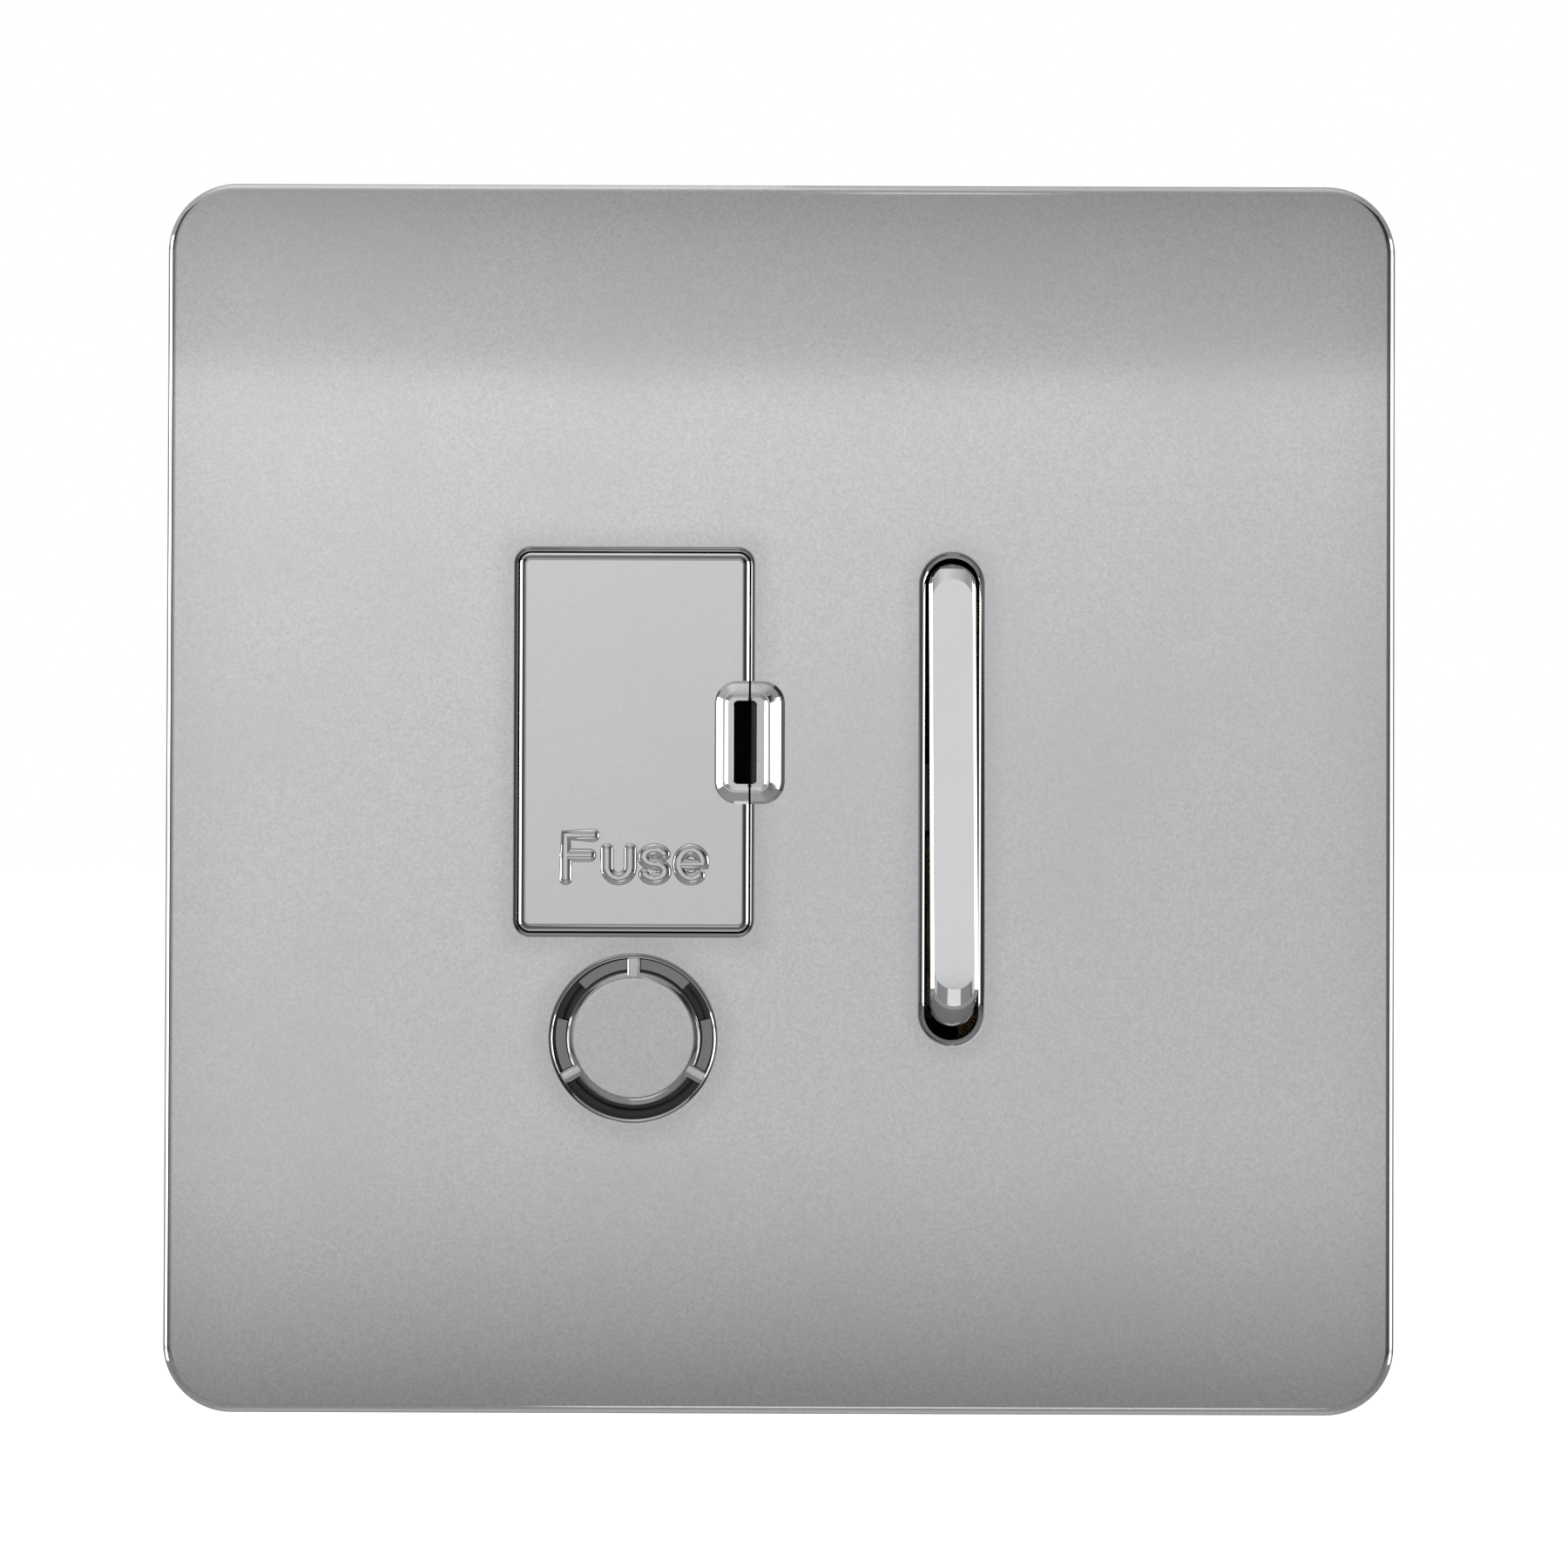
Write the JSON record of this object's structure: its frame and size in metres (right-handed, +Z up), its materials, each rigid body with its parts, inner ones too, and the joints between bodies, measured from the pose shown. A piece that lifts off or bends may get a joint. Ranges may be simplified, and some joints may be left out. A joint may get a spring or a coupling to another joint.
{
  "type": "switched fused spur unit",
  "caption": "Square wall plate with a pull-out fuse drawer, a slim rocker switch and a flex outlet knock-out, on a moulded switch module with screw terminals.",
  "frame": {"origin": "middle of the line between the two fixing screws, in the wall plane", "axes": "+X right and +Z up as seen from the front, +Y into the wall"},
  "size_m": [0.086, 0.0335, 0.086],
  "materials": {
    "satin_plating": "satin metallic plating on moulded plastic",
    "satin_door": "smooth satin metallic plating on moulded plastic",
    "polished_plating": "polished metallic plating on moulded plastic",
    "black_moulding": "glossy black moulded plastic",
    "zinc_steel": "bright zinc-plated steel",
    "spring_steel": "drawn spring wire",
    "brass": "plain brass",
    "brass_screw": "turned brass",
    "phosphor_bronze": "rolled spring bronze",
    "silver_contact": "matt silver alloy",
    "white_moulding": "natural low-friction plastic",
    "ceramic": "glazed white ceramic",
    "nickel_cap": "nickel-plated brass"
  },
  "bodies": {
    "module": {"front_plate": "satin_plating", "front_cover": "black_moulding", "rear_housing": "black_moulding", "cord_clamp": "black_moulding", "mounting_frame": "zinc_steel", "housing_screws": "zinc_steel", "cord_clamp_screws": "zinc_steel", "load_live_terminal": "brass", "load_neutral_terminal": "brass", "earth_terminal": "brass", "supply_live_terminal": "brass", "supply_neutral_terminal": "brass", "terminal_screws": "brass_screw", "earth_strap": "brass", "live_link": "brass", "load_live_bar": "brass", "load_neutral_bar": "brass", "live_pivot_bracket": "brass", "neutral_pivot_bracket": "brass", "upper_fuse_clip": "phosphor_bronze", "lower_fuse_clip": "phosphor_bronze", "fixed_contact_tips": "silver_contact"},
    "rocker": {"rocker_cap": "polished_plating", "rocker_hub": "black_moulding", "live_plunger_spring": "spring_steel", "neutral_plunger_spring": "spring_steel"},
    "live_plunger": {"live_plunger": "white_moulding"},
    "neutral_plunger": {"neutral_plunger": "white_moulding"},
    "live_blade": {"live_contact_blade": "phosphor_bronze", "live_contact_tip": "silver_contact"},
    "neutral_blade": {"neutral_contact_blade": "phosphor_bronze", "neutral_contact_tip": "silver_contact"},
    "fuse_drawer": {"fuse_door": "satin_door", "fuse_carrier": "black_moulding", "fuse_tube": "ceramic", "fuse_caps": "nickel_cap"}
  },
  "joints": [
    {"name": "rocker_tilt", "type": "hinge", "parent": "module", "child": "rocker", "pos_m": [0.012, -0.003, 0], "axis": [1, 0, 0], "range_deg": [0, 18]},
    {"name": "live_plunger_slide", "type": "slide", "parent": "rocker", "child": "live_plunger", "axis": [0, 0.9877, -0.1564], "range_m": [0, 0.0002], "stiffness_N_per_m": 1200, "springref_m": 0.002, "deforming": ["live_plunger_spring"]},
    {"name": "neutral_plunger_slide", "type": "slide", "parent": "rocker", "child": "neutral_plunger", "axis": [0, 0.9877, -0.1564], "range_m": [0, 0.0002], "stiffness_N_per_m": 1200, "springref_m": 0.002, "deforming": ["neutral_plunger_spring"]},
    {"name": "live_blade_rock", "type": "hinge", "parent": "module", "child": "live_blade", "pos_m": [0.0075, 0.00651, 0], "axis": [1, 0, 0], "range_deg": [-16, 0]},
    {"name": "neutral_blade_rock", "type": "hinge", "parent": "module", "child": "neutral_blade", "pos_m": [0.0165, 0.00651, 0], "axis": [1, 0, 0], "range_deg": [-16, 0]},
    {"name": "drawer_pull", "type": "slide", "parent": "module", "child": "fuse_drawer", "axis": [0, -1, 0], "range_m": [0, 0.011]}
  ],
  "couplings": [
    {"joint": "live_blade_rock", "follows": "rocker_tilt", "ratio": -0.8888},
    {"joint": "neutral_blade_rock", "follows": "rocker_tilt", "ratio": -0.8888}
  ]
}
